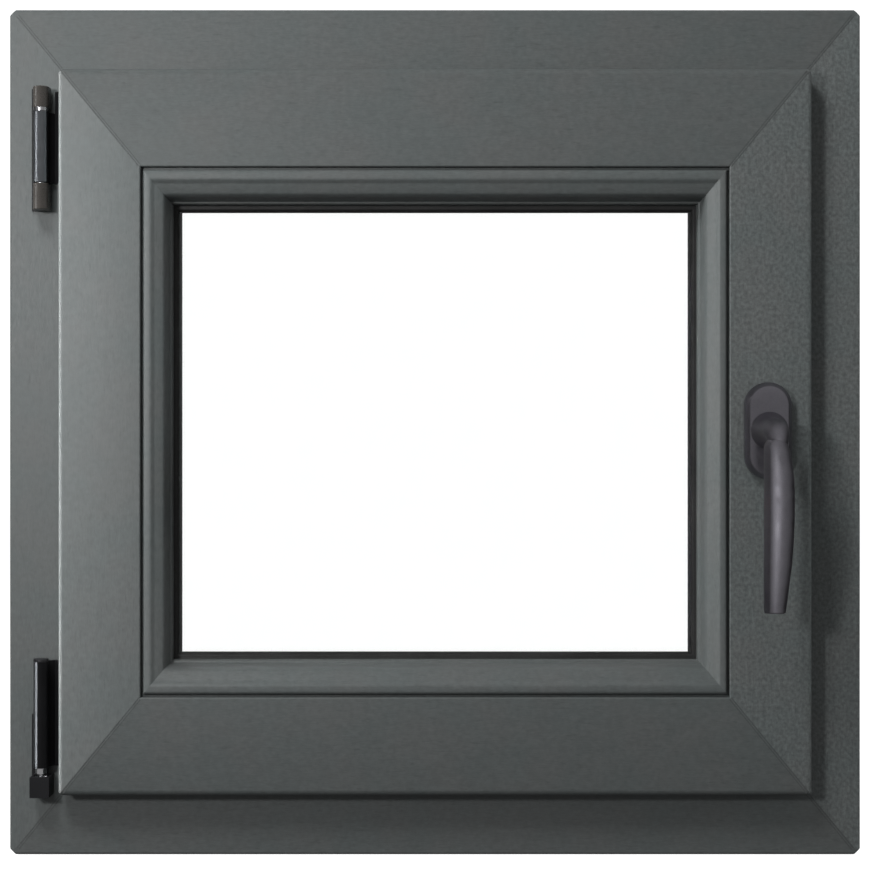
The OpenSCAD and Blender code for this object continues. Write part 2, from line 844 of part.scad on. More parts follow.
// Barrel, strap and flat arm that carry the sash's top
module stay_arm() {
    inner = hinge_out - leaf_gap - leaf_t;
    outer = hinge_out - leaf_gap;
    arm_y = groove_y - hinge_y;
    strap_start = side_leaf + 1.1;
    strap_end = strap_start + 3.5;
    bend = strap_end + 16;
    color("#7b8087") at_hinge() difference() {
        union() {
            translate([0, 0, upper_barrel_z0]) cylinder(r = barrel_r, h = upper_barrel_z1 - upper_barrel_z0);
            leaf_strap(upper_barrel_z0, upper_barrel_z1, strap_end);
            translate([leaf_start, inner, upper_barrel_z0])
                cube([strap_end - leaf_start, leaf_t, arm_z + arm_t - upper_barrel_z0]);
            translate([0, 0, arm_z]) linear_extrude(arm_t) polygon([
                [strap_start, inner], [strap_end, inner],
                [bend, arm_y - arm_w / 2], [stay_len, arm_y - arm_w / 2],
                [stay_len, arm_y + arm_w / 2], [bend, arm_y + arm_w / 2],
                [strap_start, outer + 2]
            ]);
            translate([stay_len, arm_y, arm_z]) cylinder(r = arm_w / 2, h = arm_t);
        }
        translate([0, 0, upper_barrel_z0 - 1])
            cylinder(r = hinge_pin_r + run_clear, h = upper_barrel_z1 - upper_barrel_z0 + 2);
        translate([stay_len, arm_y, arm_z - 1]) cylinder(r = slider_r + run_clear, h = arm_t + 2);
    }
}

module stay_slider() {
    color("silver") translate([stay_x, groove_y, arm_z]) {
        translate([0, 0, -slider_reach]) cylinder(r = slider_r, h = slider_reach + arm_t);
        translate([0, 0, arm_t]) cylinder(r = slider_r + 1.6, h = 1);
    }
}

module stay_guide() {
    r = slider_r + slider_clear;
    color(steel_colour) on_top() difference() {
        groove_plate(guide_span[0], guide_span[1]);
        for (x = [stay_x - slider_run, stay_x + 1]) {
            translate([x, 0, -plate_t - 1]) cylinder(r = r, h = plate_t + 2);
        }
        translate([stay_x - slider_run, -r, -plate_t - 1]) cube([slider_run + 1, 2 * r, plate_t + 2]);
        plate_screw_holes(guide_screws);
    }
}

// ---------- sash ----------

module gear_pocket() {
    pocket_d = groove_y - face_y + 10;
    translate([handle_x - case_back - 0.1, groove_y - channel_w / 2, handle_z - case_half - 0.1])
        cube([lock_x - handle_x + case_back, channel_w, 2 * case_half + 0.2]);
    translate([handle_x, groove_y, handle_z]) rotate([90, 0, 0]) cylinder(r = hub_r + 0.5, h = pocket_d);
    for (z = [-handle_screw_gap / 2, handle_screw_gap / 2]) {
        translate([handle_x, groove_y, handle_z + z]) rotate([90, 0, 0])
            cylinder(r = handle_screw_r + screw_clear, h = pocket_d);
    }
}

// Seats of the angled faceplates and the holes of every faceplate screw
module faceplate_cuts() {
    on_lock() groove_plate(bottom_z, top_z);
    on_top() groove_plate(lock_x - corner_leg, lock_x);
    on_bottom() groove_plate(lock_x - corner_leg, lock_x);
    on_lock() plate_screw_holes(lock_screws);
    on_top() plate_screw_holes(top_screws);
    on_bottom() plate_screw_holes(bottom_screws);
}

module sash_top_rail() {
    color(foil_shade) difference() {
        to_top() rail(lip_u, stop_u, sash_chamfer) sash_section(k);
        faceplate_cuts();
    }
}

module sash_bottom_rail() {
    color(foil_shade) difference() {
        rail(lip_u, stop_u, sash_chamfer) sash_section(k);
        faceplate_cuts();
    }
}

module sash_hinge_stile() {
    color(foil_colour) difference() {
        stile(lip_u, stop_u, sash_chamfer) sash_section(1);
        hinge_screw_shafts(plate_screw_r + screw_clear);
    }
}

module sash_lock_stile() {
    color(foil_colour) difference() {
        to_lock_side() stile(lip_u, stop_u, sash_chamfer) sash_section(1);
        gear_pocket();
        faceplate_cuts();
    }
}

module sash_reinforcement() {
    color(steel_colour) {
        difference() {
            steel_stile(sash_steel);
            hinge_screw_shafts(plate_screw_r + screw_clear);
        }
        to_lock_side() steel_stile(sash_steel);
        steel_rail(sash_steel);
        to_top() steel_rail(sash_steel);
    }
}

// Ring behind the lip, left out where a hinge strap passes
module sash_lip_gasket() {
    u = (lip_u + frame_face) / 2 + 1.5;
    color(gasket_colour) difference() {
        ring(u - 1.2, u + 1.2, lip_y, room_y - slide_clear - 0.1);
        for (span = [[lower_barrel_z, lower_barrel_z + lower_barrel_l], [upper_barrel_z0, arm_z + arm_t]]) {
            translate([-window_w / 2, lip_y - 1, span[0] - leaf_notch])
                cube([frame_face + 1, lip_gap + 2, span[1] - span[0] + 2 * leaf_notch]);
        }
    }
}

module glazing_outer_gasket() {
    color(gasket_colour) ring(stop_u - 2 - gasket_w, stop_u - 2, glass_out_y, stop_y);
}

module bead_top() {
    color(foil_colour) to_top() rail(floor_u, bead_u, 0) bead_section(k);
}

module bead_bottom() {
    color(foil_colour) rail(floor_u, bead_u, 0) bead_section(k);
}

module bead_hinge_side() {
    color(foil_colour) stile(floor_u, bead_u, 0) bead_section(1);
}

module bead_lock_side() {
    color(foil_colour) to_lock_side() stile(floor_u, bead_u, 0) bead_section(1);
}

module bead_gasket() {
    color(gasket_colour) ring(sight_u - 2 - gasket_w, sight_u, bead_back_y, glass_in_y);
}

module glass_outer_pane() {
    color("lightblue", 0.3) slab(glass_u, glass_out_y - pane_t, glass_out_y);
}

module glass_inner_pane() {
    color("lightblue", 0.3) slab(glass_u, glass_in_y, glass_in_y + pane_t);
}

spacer_u = glass_u + 4;
spacer_w = 7;
spacer_wall = 0.6;

// Hollow aluminium bar between the panes
module glass_spacer() {
    y0 = glass_in_y + pane_t;
    y1 = glass_out_y - pane_t;
    color("silver") difference() {
        ring(spacer_u, spacer_u + spacer_w, y0, y1);
        ring(spacer_u + spacer_wall, spacer_u + spacer_w - spacer_wall, y0 + spacer_wall, y1 - spacer_wall);
    }
}

module glass_edge_seal() {
    color(gasket_colour) ring(glass_u, spacer_u, glass_in_y + pane_t, glass_out_y - pane_t);
}

block_l = 90;
block_in = 60;

// Packers that carry the glass in the rebate
module glazing_blocks() {
    d = glass_out_y - glass_in_y;
    color("#2d4a6e") {
        for (x = [-window_w / 2 + glass_u + block_in, window_w / 2 - glass_u - block_in - block_l]) {
            translate([x, glass_in_y, floor_u * k]) cube([block_l, d, edge_gap * k]);
        }
        translate([-window_w / 2 + floor_u, glass_in_y, glass_u * k + block_in])
            cube([edge_gap, d, block_l]);
        translate([window_w / 2 - glass_u, glass_in_y, window_h - glass_u * k - block_in - block_l])
            cube([edge_gap, d, block_l]);
    }
}

// ---------- perimeter hardware ----------

lock_plate = [bottom_z + corner_leg, top_z - corner_leg];
top_plate = [guide_span[1] + 0.5, lock_x - corner_leg];
bottom_plate = [bottom_cam_x - 120, lock_x - corner_leg];
lock_screws = [bottom_z + 12, top_z - 12];
guide_screws = [guide_span[0] + 5, guide_span[1] - 5];
top_screws = concat(guide_screws, [top_plate[0] + 8, lock_x - 12]);
bottom_screws = [bottom_plate[0] + 8, lock_x - 12];

// Countersunk screws in the faceplates, down through the channel into its floor
module plate_screw_shafts(places, r) {
    for (x = places) {
        translate([x, 0, -plate_screw_l]) cylinder(r = r, h = plate_screw_l - 0.5);
    }
}

module plate_screw_holes(places) {
    plate_screw_shafts(places, plate_screw_r + screw_clear);
    for (x = places) {
        translate([x, 0, -plate_screw_head_h - head_taper]) cylinder(
            r1 = plate_screw_r,
            r2 = plate_screw_head_r + eps,
            h = plate_screw_head_h + head_taper + eps
        );
    }
}

module plate_screws(places) {
    plate_screw_shafts(places, plate_screw_r);
    for (x = places) {
        translate([x, 0, -plate_screw_head_h]) cylinder(
            r1 = plate_screw_r - head_taper,
            r2 = plate_screw_head_r - head_taper,
            h = plate_screw_head_h
        );
    }
}

module lock_faceplate() {
    color(steel_colour) on_lock() groove_plate(lock_plate[0], lock_plate[1]);
}

module top_faceplate() {
    color(steel_colour) on_top() difference() {
        groove_plate(top_plate[0], top_plate[1]);
        cam_slot(top_cam_x, 1);
        plate_screw_holes(top_screws);
    }
}

module bottom_faceplate() {
    color(steel_colour) on_bottom() difference() {
        groove_plate(bottom_plate[0], bottom_plate[1]);
        plate_screw_holes(bottom_screws);
    }
}

// Angled faceplates at the lock side's two corners, slotted for the cams on them
module corner_drives() {
    color(steel_colour) {
        difference() {
            union() {
                on_lock() groove_plate(lock_plate[1], top_z);
                on_top() groove_plate(lock_x - corner_leg, lock_x);
            }
            on_lock() cam_slot(lock_cam_z, -1);
            on_lock() plate_screw_holes(lock_screws);
            on_top() plate_screw_holes(top_screws);
        }
        difference() {
            union() {
                on_lock() groove_plate(bottom_z, lock_plate[0]);
                on_bottom() groove_plate(lock_x - corner_leg, lock_x);
            }
            on_bottom() cam_slot(bottom_cam_x, -1);
            on_lock() plate_screw_holes(lock_screws);
            on_bottom() plate_screw_holes(bottom_screws);
        }
    }
}

module faceplate_screws() {
    color("silver") {
        on_lock() plate_screws(lock_screws);
        on_top() plate_screws(top_screws);
        on_bottom() plate_screws(bottom_screws);
    }
}

// Rod on the lock side with the rack that the pinion drives
module lock_drive_rod() {
    rack_low = handle_z - 3 * rack_pitch;
    rack_teeth = ceil((rod_travel + 6 * rack_pitch) / rack_pitch);
    color(steel_colour) on_lock() {
        groove_rod(bottom_z + 50, lock_cam_z + 10);
        for (i = [0:rack_teeth]) {
            translate([rack_low + (i + 0.5) * rack_pitch, 0, rack_pitch_x - lock_x]) rack_tooth();
        }
    }
}

// One straight-sided tooth; its pitch line is at Z = 0 and it points into the sash
module rack_tooth() {
    half = rack_pitch / 4 - tooth_play / 2;
    root = tooth_root + rod_t / 2;
    translate([0, rod_w / 2, 0]) rotate([90, 0, 0]) linear_extrude(rod_w) polygon([
        [-half - root * tan(pressure), root],
        [half + root * tan(pressure), root],
        [half - rack_tip * tan(pressure), -rack_tip], [-half + rack_tip * tan(pressure), -rack_tip]
    ]);
}

module lock_cam() {
    color("silver") on_lock() groove_cam(lock_cam_z, side_gap);
}

module top_drive_rod() {
    color(steel_colour) on_top() groove_rod(top_cam_x - 20, lock_x - 60);
}

module top_cam() {
    color("silver") on_top() groove_cam(top_cam_x, rail_gap);
}

module bottom_drive_rod() {
    color(steel_colour) on_bottom() groove_rod(bottom_cam_x - 80, bottom_cam_x + 8);
}

module bottom_cam() {
    color("silver") on_bottom() groove_cam(bottom_cam_x, rail_gap);
}

// Housing of the pinion, open to the rack, with a solid end for each handle screw
module gear_case() {
    depth = case_back + rack_pitch_x - rack_tip - slide_clear - handle_x;
    color("gray") translate([handle_x, groove_y, handle_z]) difference() {
        translate([-case_back, -channel_w / 2, -case_half]) cube([depth, channel_w, 2 * case_half]);
        translate([-case_back + case_wall, -channel_w / 2 + case_wall, -case_hollow])
            cube([depth, channel_w - 2 * case_wall, 2 * case_hollow]);
        rotate([90, 0, 0]) cylinder(r = hub_r + run_clear, h = far, center = true);
        for (z = [-handle_screw_gap / 2, handle_screw_gap / 2]) {
            translate([0, channel_w / 2 - 1.5, z]) rotate([90, 0, 0])
                cylinder(r = handle_screw_r + screw_clear, h = channel_w);
        }
    }
}

// ---------- handle ----------

module stadium(w, h) {
    for (z = [-1, 1]) {
        translate([0, z * (h - w) / 2]) circle(r = w / 2);
    }
    square([w, h - w], center = true);
}

// Turns an outline drawn in X and Z into a plate that stands out of the sash face
module on_face(from, to) {
    translate([handle_x, face_y - from, handle_z]) rotate([90, 0, 0])
        linear_extrude(to - from) children();
}

module spindle_hole(side, from, to) {
    on_face(from, to) square(side, center = true);
}

module handle_screw_holes(r) {
    for (z = [-handle_screw_gap / 2, handle_screw_gap / 2]) {
        on_face(-40, 40) translate([0, z]) circle(r = r);
    }
}

module handle_base() {
    inset = 2 * rosette_wall + 0.4;
    color(gasket_colour) difference() {
        union() {
            on_face(0, base_t) stadium(rosette_w - inset, rosette_h - inset);
            on_face(base_t, rosette_t - rosette_wall - 0.2) circle(r = sleeve_r + 1.6);
        }
        on_face(-1, rosette_t) circle(r = sleeve_r + run_clear);
        handle_screw_holes(handle_screw_r + screw_clear);
    }
}

module handle_rosette() {
    bevel = 1.6;
    step = 1.2;
    hollow = 2 * rosette_wall;
    color(handle_colour) difference() {
        union() {
            on_face(0, rosette_t - 2 * step) stadium(rosette_w, rosette_h);
            on_face(rosette_t - 2 * step, rosette_t - step) stadium(rosette_w - bevel, rosette_h - bevel);
            on_face(rosette_t - step, rosette_t) stadium(rosette_w - 2 * bevel, rosette_h - 2 * bevel);
        }
        on_face(-1, rosette_t - rosette_wall) stadium(rosette_w - hollow, rosette_h - hollow);
        on_face(-1, rosette_t + 1) circle(r = sleeve_r + slide_clear);
    }
}

module handle_screws() {
    tip = face_y - groove_y - channel_w / 2 + 2;
    color("silver") for (z = [-handle_screw_gap / 2, handle_screw_gap / 2]) {
        on_face(tip, base_t) translate([0, z]) circle(r = handle_screw_r);
        on_face(base_t, base_t + handle_screw_head_h) translate([0, z]) circle(r = handle_screw_head_r);
    }
}

// Neck, elbow and tapering grip in one casting
module handle_lever() {
    flange = rosette_t + slide_clear;
    flange_t = 5;
    left = 9.4;          // from the axis to the grip's straight edge
    top_r = 8.45;
    top_drop = 3.9;      // from the axis down to the grip's top
    belly_r = 10.1;
    tip_w = 14.9;
    color(handle_colour) difference() {
        union() {
            on_face(base_t + 0.5, flange) circle(r = sleeve_r);
            on_face(flange, flange + flange_t) circle(r = neck_r_big);
            on_face(flange + flange_t, grip_out) circle(r = neck_r_small);
            on_face(grip_out - grip_t / 2, grip_out + grip_t / 2) hull() {
                translate([top_r - left, -top_drop - top_r]) circle(r = top_r);
                translate([belly_r - left, -lever_l * 0.37]) circle(r = belly_r);
                translate([-left, -lever_l]) square(tip_w);
            }
        }
        spindle_hole(spindle_s + 0.1, 0, grip_out - grip_t / 2 + 1);
    }
}

module handle_spindle() {
    color("silver") spindle_hole(spindle_s, face_y - groove_y - pinion_w / 2, grip_out - grip_t / 2 + 0.8);
}

// Involute flank point of the pinion at radius r, as an angle from the tooth's middle
function roll(r) = sqrt(max(0, pow(r / (pinion_r * cos(pressure)), 2) - 1)) * 180 / PI;
function flank(r) =
    (90 - tooth_play * 90 / (rack_pitch / 2)) / pinion_teeth
    + (roll(pinion_r) - atan(roll(pinion_r) * PI / 180)) - (roll(r) - atan(roll(r) * PI / 180));

module drive_pinion() {
    top = pinion_r + tooth_m * 0.95;
    bottom = pinion_r - tooth_root;
    base = pinion_r * cos(pressure);
    radii = [bottom, base, base + (top - base) * 0.25, base + (top - base) * 0.5,
        base + (top - base) * 0.75, top];
    color("silver") translate([handle_x, groove_y, handle_z]) rotate([90, 0, 0]) difference() {
        union() {
            linear_extrude(pinion_w, center = true) union() {
                circle(r = bottom + 0.01);
                for (i = [0:pinion_teeth - 1]) {
                    rotate(i * 360 / pinion_teeth) polygon(concat(
                        [[0, 0]],
                        [for (r = radii) [r * cos(flank(r)), -r * sin(flank(r))]],
                        [for (j = [len(radii) - 1:-1:0]) let (r = radii[j])
                            [r * cos(flank(r)), r * sin(flank(r))]]
                    ));
                }
            }
            cylinder(r = hub_r, h = channel_w - 0.2, center = true);
        }
        linear_extrude(far, center = true) square(spindle_s + 0.1, center = true);
    }
}

frame_head();
frame_sill();
frame_hinge_jamb();
frame_lock_jamb();
frame_reinforcement();
frame_outer_gasket();
drain_caps();
lock_keep();
head_keep();
tilt_keep();
keep_screws();
corner_bearing();
stay_bearing();
stay_bearing_pin();
stay_bearing_caps();
bearing_screws();
pivot_turret();
sash_top_rail();
sash_bottom_rail();
sash_hinge_stile();
sash_lock_stile();
sash_reinforcement();
sash_lip_gasket();
glazing_outer_gasket();
bead_top();
bead_bottom();
bead_hinge_side();
bead_lock_side();
bead_gasket();
glass_outer_pane();
glass_inner_pane();
glass_spacer();
glass_edge_seal();
glazing_blocks();
lock_faceplate();
top_faceplate();
bottom_faceplate();
corner_drives();
faceplate_screws();
gear_case();
corner_hinge();
corner_hinge_pin();
corner_hinge_cap();
corner_hinge_screws();
stay_guide();
handle_base();
handle_rosette();
handle_screws();
handle_lever();
handle_spindle();
drive_pinion();
lock_drive_rod();
lock_cam();
top_drive_rod();
top_cam();
bottom_drive_rod();
bottom_cam();
stay_arm();
stay_slider();
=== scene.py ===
"""Looks of a dark foiled tilt-and-turn window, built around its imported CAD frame. Metres."""

import json
import math

import bmesh
import bpy
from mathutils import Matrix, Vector


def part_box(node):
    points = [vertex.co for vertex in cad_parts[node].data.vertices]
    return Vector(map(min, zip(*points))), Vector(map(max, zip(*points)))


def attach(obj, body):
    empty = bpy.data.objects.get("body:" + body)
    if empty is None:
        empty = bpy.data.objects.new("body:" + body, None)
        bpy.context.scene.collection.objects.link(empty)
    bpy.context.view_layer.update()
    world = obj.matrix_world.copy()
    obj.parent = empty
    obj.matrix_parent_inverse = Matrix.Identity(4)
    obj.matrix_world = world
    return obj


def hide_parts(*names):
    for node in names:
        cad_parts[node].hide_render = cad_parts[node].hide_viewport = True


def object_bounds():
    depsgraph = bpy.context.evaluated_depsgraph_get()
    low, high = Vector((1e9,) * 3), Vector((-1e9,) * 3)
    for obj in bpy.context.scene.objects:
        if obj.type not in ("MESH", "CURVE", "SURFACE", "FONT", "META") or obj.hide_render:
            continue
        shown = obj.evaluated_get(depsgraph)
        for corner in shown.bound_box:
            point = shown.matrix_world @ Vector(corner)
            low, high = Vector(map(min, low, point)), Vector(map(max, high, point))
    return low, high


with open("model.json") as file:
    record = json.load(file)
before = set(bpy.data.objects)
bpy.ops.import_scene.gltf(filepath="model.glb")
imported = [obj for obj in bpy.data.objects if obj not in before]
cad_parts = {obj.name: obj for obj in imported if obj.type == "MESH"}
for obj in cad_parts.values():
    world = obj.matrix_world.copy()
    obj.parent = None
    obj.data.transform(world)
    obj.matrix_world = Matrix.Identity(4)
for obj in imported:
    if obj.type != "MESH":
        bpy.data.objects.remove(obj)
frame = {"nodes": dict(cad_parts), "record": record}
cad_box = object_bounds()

MM = 0.001

BODY_OF = {n: b for b, nodes in frame["record"]["behaviour"]["bodies"].items() for n in nodes}
SLOT_OF = {s["node"]: s["material_slot"] for s in frame["record"]["subparts"]}


# ---------- materials ----------

class Nodes:
    """A short way to write a material's node tree."""

    def __init__(self, name):
        self.material = bpy.data.materials.new(name)
        self.material.use_nodes = True
        self.tree = self.material.node_tree
        self.shader = self.tree.nodes["Principled BSDF"]
        self.place = self.add("ShaderNodeTexCoord").outputs["Object"]

    def add(self, kind, **values):
        node = self.tree.nodes.new(kind)
        for name, value in values.items():
            setattr(node, name, value)
        return node

    def link(self, source, target):
        self.tree.links.new(source, target)

    def set(self, **values):
        for name, value in values.items():
            self.shader.inputs[name.replace("_", " ")].default_value = value

    def stretched(self, scale):
        """Object coordinates multiplied by scale, one number for each axis."""
        node = self.add("ShaderNodeMapping")
        node.inputs["Scale"].default_value = scale
        self.link(self.place, node.inputs["Vector"])
        return node.outputs["Vector"]

    def noise(self, scale, detail, rough=0.55, distortion=0.0, vector=None):
        """Noise with scale features to the metre."""
        node = self.add("ShaderNodeTexNoise")
        node.inputs["Scale"].default_value = scale
        node.inputs["Detail"].default_value = detail
        node.inputs["Roughness"].default_value = rough
        node.inputs["Distortion"].default_value = distortion
        self.link(vector or self.place, node.inputs["Vector"])
        return node.outputs["Fac"]

    def ramp(self, fac, *stops):
        """Colour ramp with stops of (position, colour or grey)."""
        node = self.add("ShaderNodeValToRGB")
        ramp = node.color_ramp
        while len(ramp.elements) < len(stops):
            ramp.elements.new(0.5)
        for element, (position, colour) in zip(ramp.elements, stops):
            element.position = position
            element.color = (*colour, 1) if hasattr(colour, "__len__") else (colour,) * 3 + (1,)
        self.link(fac, node.inputs["Fac"])
        return node.outputs["Color"]

    def mix(self, fac, a, b, blend="MIX"):
        node = self.add("ShaderNodeMix", data_type="RGBA", blend_type=blend)
        factor_and_colours = (node.inputs[i] for i in (0, 6, 7))
        for socket, value in zip(factor_and_colours, (fac, a, b)):
            if hasattr(value, "is_output"):
                self.link(value, socket)
            elif hasattr(value, "__len__"):
                socket.default_value = (*value, 1)
            else:
                socket.default_value = value
        return node.outputs[2]

    def bump(self, *layers):
        """Chained bumps, each (height, strength, distance in metres)."""
        normal = None
        for height, strength, distance in layers:
            node = self.add("ShaderNodeBump")
            node.inputs["Strength"].default_value = strength
            node.inputs["Distance"].default_value = distance
            self.link(height, node.inputs["Height"])
            if normal:
                self.link(normal, node.inputs["Normal"])
            normal = node.outputs["Normal"]
        self.link(normal, self.shader.inputs["Normal"])

    def edge_wear(self, width):
        """0 on faces and 1 near sharp edges, within the given width."""
        bevel = self.add("ShaderNodeBevel", samples=4)
        bevel.inputs["Radius"].default_value = width
        geometry = self.add("ShaderNodeNewGeometry")
        dot = self.add("ShaderNodeVectorMath", operation="DOT_PRODUCT")
        self.link(bevel.outputs["Normal"], dot.inputs[0])
        self.link(geometry.outputs["Normal"], dot.inputs[1])
        return self.ramp(dot.outputs["Value"], (0.80, 1.0), (0.97, 0.0))


FOIL_GREY = (0.0700, 0.0757, 0.0750)
FOIL_GREEN = (0.0655, 0.0747, 0.0743)
GRAIN_STRETCH = 0.16       # noise scale along the grain, against 1 across it


def foil(name, along, painted_light_tone=1.0, speckle=0.16, speckle_scale=260):
    """Anthracite laminate with a fine wood grain embossed along one axis; its tone is painted light
    or shade that lightens or darkens a whole member.
    """
    m = Nodes(name)
    stretch = [1.0, 1.0, 1.0]
    stretch["XYZ".index(along)] = GRAIN_STRETCH
    streak = m.stretched(stretch)
    grain = m.noise(1500, 3, 0.6, 0.2, streak)
    pores = m.noise(620, 2, 0.5, 0.6, streak)
    fleck = m.noise(speckle_scale, 3, 0.55)
    cloud = m.noise(24, 3, 0.6)
    grey, green = (tuple(painted_light_tone * c for c in colour) for colour in (FOIL_GREY, FOIL_GREEN))
    base = m.ramp(cloud, (0.38, green), (0.62, grey))
    base = m.mix(speckle, base, m.ramp(fleck, (0.35, 0.6), (0.65, 1.4)), "MULTIPLY")
    base = m.mix(0.30, base, m.ramp(grain, (0.35, 0.7), (0.65, 1.3)), "MULTIPLY")
    base = m.mix(0.30, base, m.ramp(pores, (0.28, 0.5), (0.40, 1.0)), "MULTIPLY")
    m.link(base, m.shader.inputs["Base Color"])
    m.link(m.ramp(grain, (0.3, 0.44), (0.7, 0.56)), m.shader.inputs["Roughness"])
    m.bump((pores, 0.25, 0.00012), (grain, 0.2, 0.00008), (cloud, 0.08, 0.0006))
    return m.material


def rubber(name):
    """Matt black gasket rubber with a faint bloom."""
    m = Nodes(name)
    fine = m.noise(900, 4, 0.6)
    m.link(m.ramp(m.noise(60, 3), (0.3, 0.006), (0.7, 0.014)), m.shader.inputs["Base Color"])
    m.link(m.ramp(fine, (0.3, 0.5), (0.7, 0.75)), m.shader.inputs["Roughness"])
    m.bump((fine, 0.25, 0.0001),)
    return m.material


def metal(name, colour, rough, scratch=(1, 1, 0.05), relief=0.12):
    """Plated, cast or passivated metal with fine drawn lines."""
    m = Nodes(name)
    lines = m.noise(2400, 3, 0.6, 0.0, m.stretched(scratch))
    smudge = m.noise(120, 4, 0.6)
    low = tuple(c * 0.82 for c in colour)
    high = tuple(min(1, c * 1.15) for c in colour)
    stops = (0.3, low), (0.7, high)
    base = m.mix(0.5, m.ramp(smudge, *stops), m.ramp(lines, *stops))
    m.link(base, m.shader.inputs["Base Color"])
    m.set(Metallic=1.0)
    m.link(m.ramp(smudge, (0.3, rough * 0.8), (0.7, rough * 1.3)), m.shader.inputs["Roughness"])
    m.bump((lines, relief, 0.00005), (smudge, relief / 2, 0.0002))
    return m.material


def satin_paint(name, colour, rough, wear=None, grit=0.2, gloss=0.5):
    """Powder coat: a fine orange peel under a satin or glossy film."""
    m = Nodes(name)
    peel = m.noise(1500, 3, 0.5)
    tint = m.noise(70, 3, 0.5)
    low = tuple(c * 0.88 for c in colour)
    high = tuple(c * 1.12 for c in colour)
    base = m.ramp(tint, (0.3, low), (0.7, high))
    if wear:
        base = m.mix(m.edge_wear(0.0006), base, wear)
    m.link(base, m.shader.inputs["Base Color"])
    m.link(m.ramp(peel, (0.3, rough * 0.9), (0.7, rough * 1.15)), m.shader.inputs["Roughness"])
    m.bump((peel, grit, 0.00008), (tint, 0.08, 0.0004))
    m.set(Specular_IOR_Level=gloss)
    return m.material


def plastic(name, colour, rough):
    """Moulded plastic: the same skin with less relief and no worn edges."""
    return satin_paint(name, colour, rough, grit=0.12)


def clear_glass(name):
    """Clear float glass with a faint haze of dust in its roughness."""
    m = Nodes(name)
    m.set(Transmission_Weight=1.0, IOR=1.5)
    dust = m.noise(35, 5, 0.7)
    tint = m.ramp(dust, (0.35, (0.99, 1.0, 0.995)), (0.75, (1.0, 1.0, 1.0)))
    m.link(tint, m.shader.inputs["Base Color"])
    m.link(m.ramp(dust, (0.4, 0.0), (0.9, 0.02)), m.shader.inputs["Roughness"])
    m.bump((m.noise(4, 2), 0.01, 0.0005),)
    return m.material


# The rails are darker than the stiles: painted shade on the same foil
FOIL_RAIL_PAINTED_SHADE = foil("foil_rail_painted_shade", "X", 0.86)
FOIL_STILE = foil("foil_stile", "Z")
# The lock side is lighter as painted light; its stronger, finer speckle is the foil's own
FOIL_LOCK_SPECKLE_AND_PAINTED_LIGHT = foil("foil_lock_side_speckle_and_painted_light", "Z", 1.07, speckle=0.60, speckle_scale=400)
# The top and bottom beads are darker as painted shade, and the side beads lighter as painted light
BEAD_RAIL_PAINTED_SHADE = foil("bead_rail_painted_shade", "X", 0.88)
BEAD_STILE_PAINTED_LIGHT = foil("bead_stile_painted_light", "Z", 1.05)
# The seams' two flank colours: painted shade and a painted highlight on the same foil
SEAM_PAINTED_SHADE = foil("seam_painted_shade", "Z", 0.66)
SEAM_PAINTED_HIGHLIGHT = foil("seam_painted_highlight", "Z", 1.3)
FINISH = {
    "gasket_rubber": rubber("gasket_rubber"),
    "clear_glass": clear_glass("clear_glass"),
    "spacer_aluminium": metal("spacer_aluminium", (0.30, 0.31, 0.32), 0.4),
    "packer_plastic": plastic("packer_plastic", (0.03, 0.07, 0.15), 0.5),
    "zinc_steel": metal("zinc_steel", (0.48, 0.50, 0.53), 0.42),
    "handle_finish": metal("handle_finish", (0.30, 0.29, 0.325), 0.4,
                           scratch=(1, 1, 1), relief=0.015),
    "black_plastic": plastic("black_plastic", (0.012, 0.012, 0.014), 0.4),
    "dark_hinge": satin_paint("dark_hinge", (0.008, 0.008, 0.009), 0.45, (0.02, 0.02, 0.022),
                              grit=0.08, gloss=0.15),
    "hinge_cap": satin_paint("hinge_cap", (0.046, 0.042, 0.038), 0.28, (0.11, 0.10, 0.09),
                             grit=0.1),
    "hinge_steel": metal("hinge_steel", (0.25, 0.265, 0.285), 0.36),
    "bright_steel": metal("bright_steel", (0.66, 0.66, 0.68), 0.22),
    "cast_zinc": metal("cast_zinc", (0.42, 0.43, 0.45), 0.45),
    "hardware_steel": metal("hardware_steel", (0.52, 0.53, 0.55), 0.34),
}


def finish_of(node):
    """The material of a CAD node or of the piece that stands for it."""
    slot = SLOT_OF[node]
    if slot == "foiled_pvc":
        if "lock" in node:
            return FOIL_LOCK_SPECKLE_AND_PAINTED_LIGHT
        return FOIL_STILE if "stile" in node or "jamb" in node else FOIL_RAIL_PAINTED_SHADE
    if slot == "bead_pvc":
        return BEAD_STILE_PAINTED_LIGHT if "side" in node else BEAD_RAIL_PAINTED_SHADE
    return FINISH[slot]


# ---------- meshes ----------

def new_piece(name, mesh, node, material=None, replaced=None):
    """An object for a mesh, riding with a CAD node's body and standing for the replaced nodes."""
    piece = bpy.data.objects.new(name, mesh)
    bpy.context.scene.collection.objects.link(piece)
    mesh.materials.clear()
    mesh.materials.append(material or finish_of(node))
    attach(piece, BODY_OF[node])
    if replaced:
        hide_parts(*replaced)
    return piece


def smooth(mesh, angle=30):
    """Smooth shading, with edges sharper than angle degrees kept sharp."""
    mesh.shade_smooth()
    mesh.set_sharp_from_angle(angle=math.radians(angle))


# The hinge axis, and how far from it the bright barrel of a hinge part gives way to near-black
# paint: the stay arm's dark leaf, partly painted shade of the gap under the sash lip, and on the
# corner hinge the barrel's right half too, as a painted dark reflection
pin_low, pin_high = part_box("stay_bearing_pin")
HINGE_X = (pin_low.x + pin_high.x) / 2
HINGE_Y = (pin_low.y + pin_high.y) / 2
DARK_LEAF_AND_PAINTED_SHADE_BEYOND = {"stay_arm": 0.0045, "corner_hinge": -0.0013}


WELD_DIST = 2e-6           # vertices this near are one, in metres
FLAT_ANGLE = 0.6           # faces within this many degrees are one polygon
SHARP_ANGLE = 40           # edges sharper than this many degrees are rounded


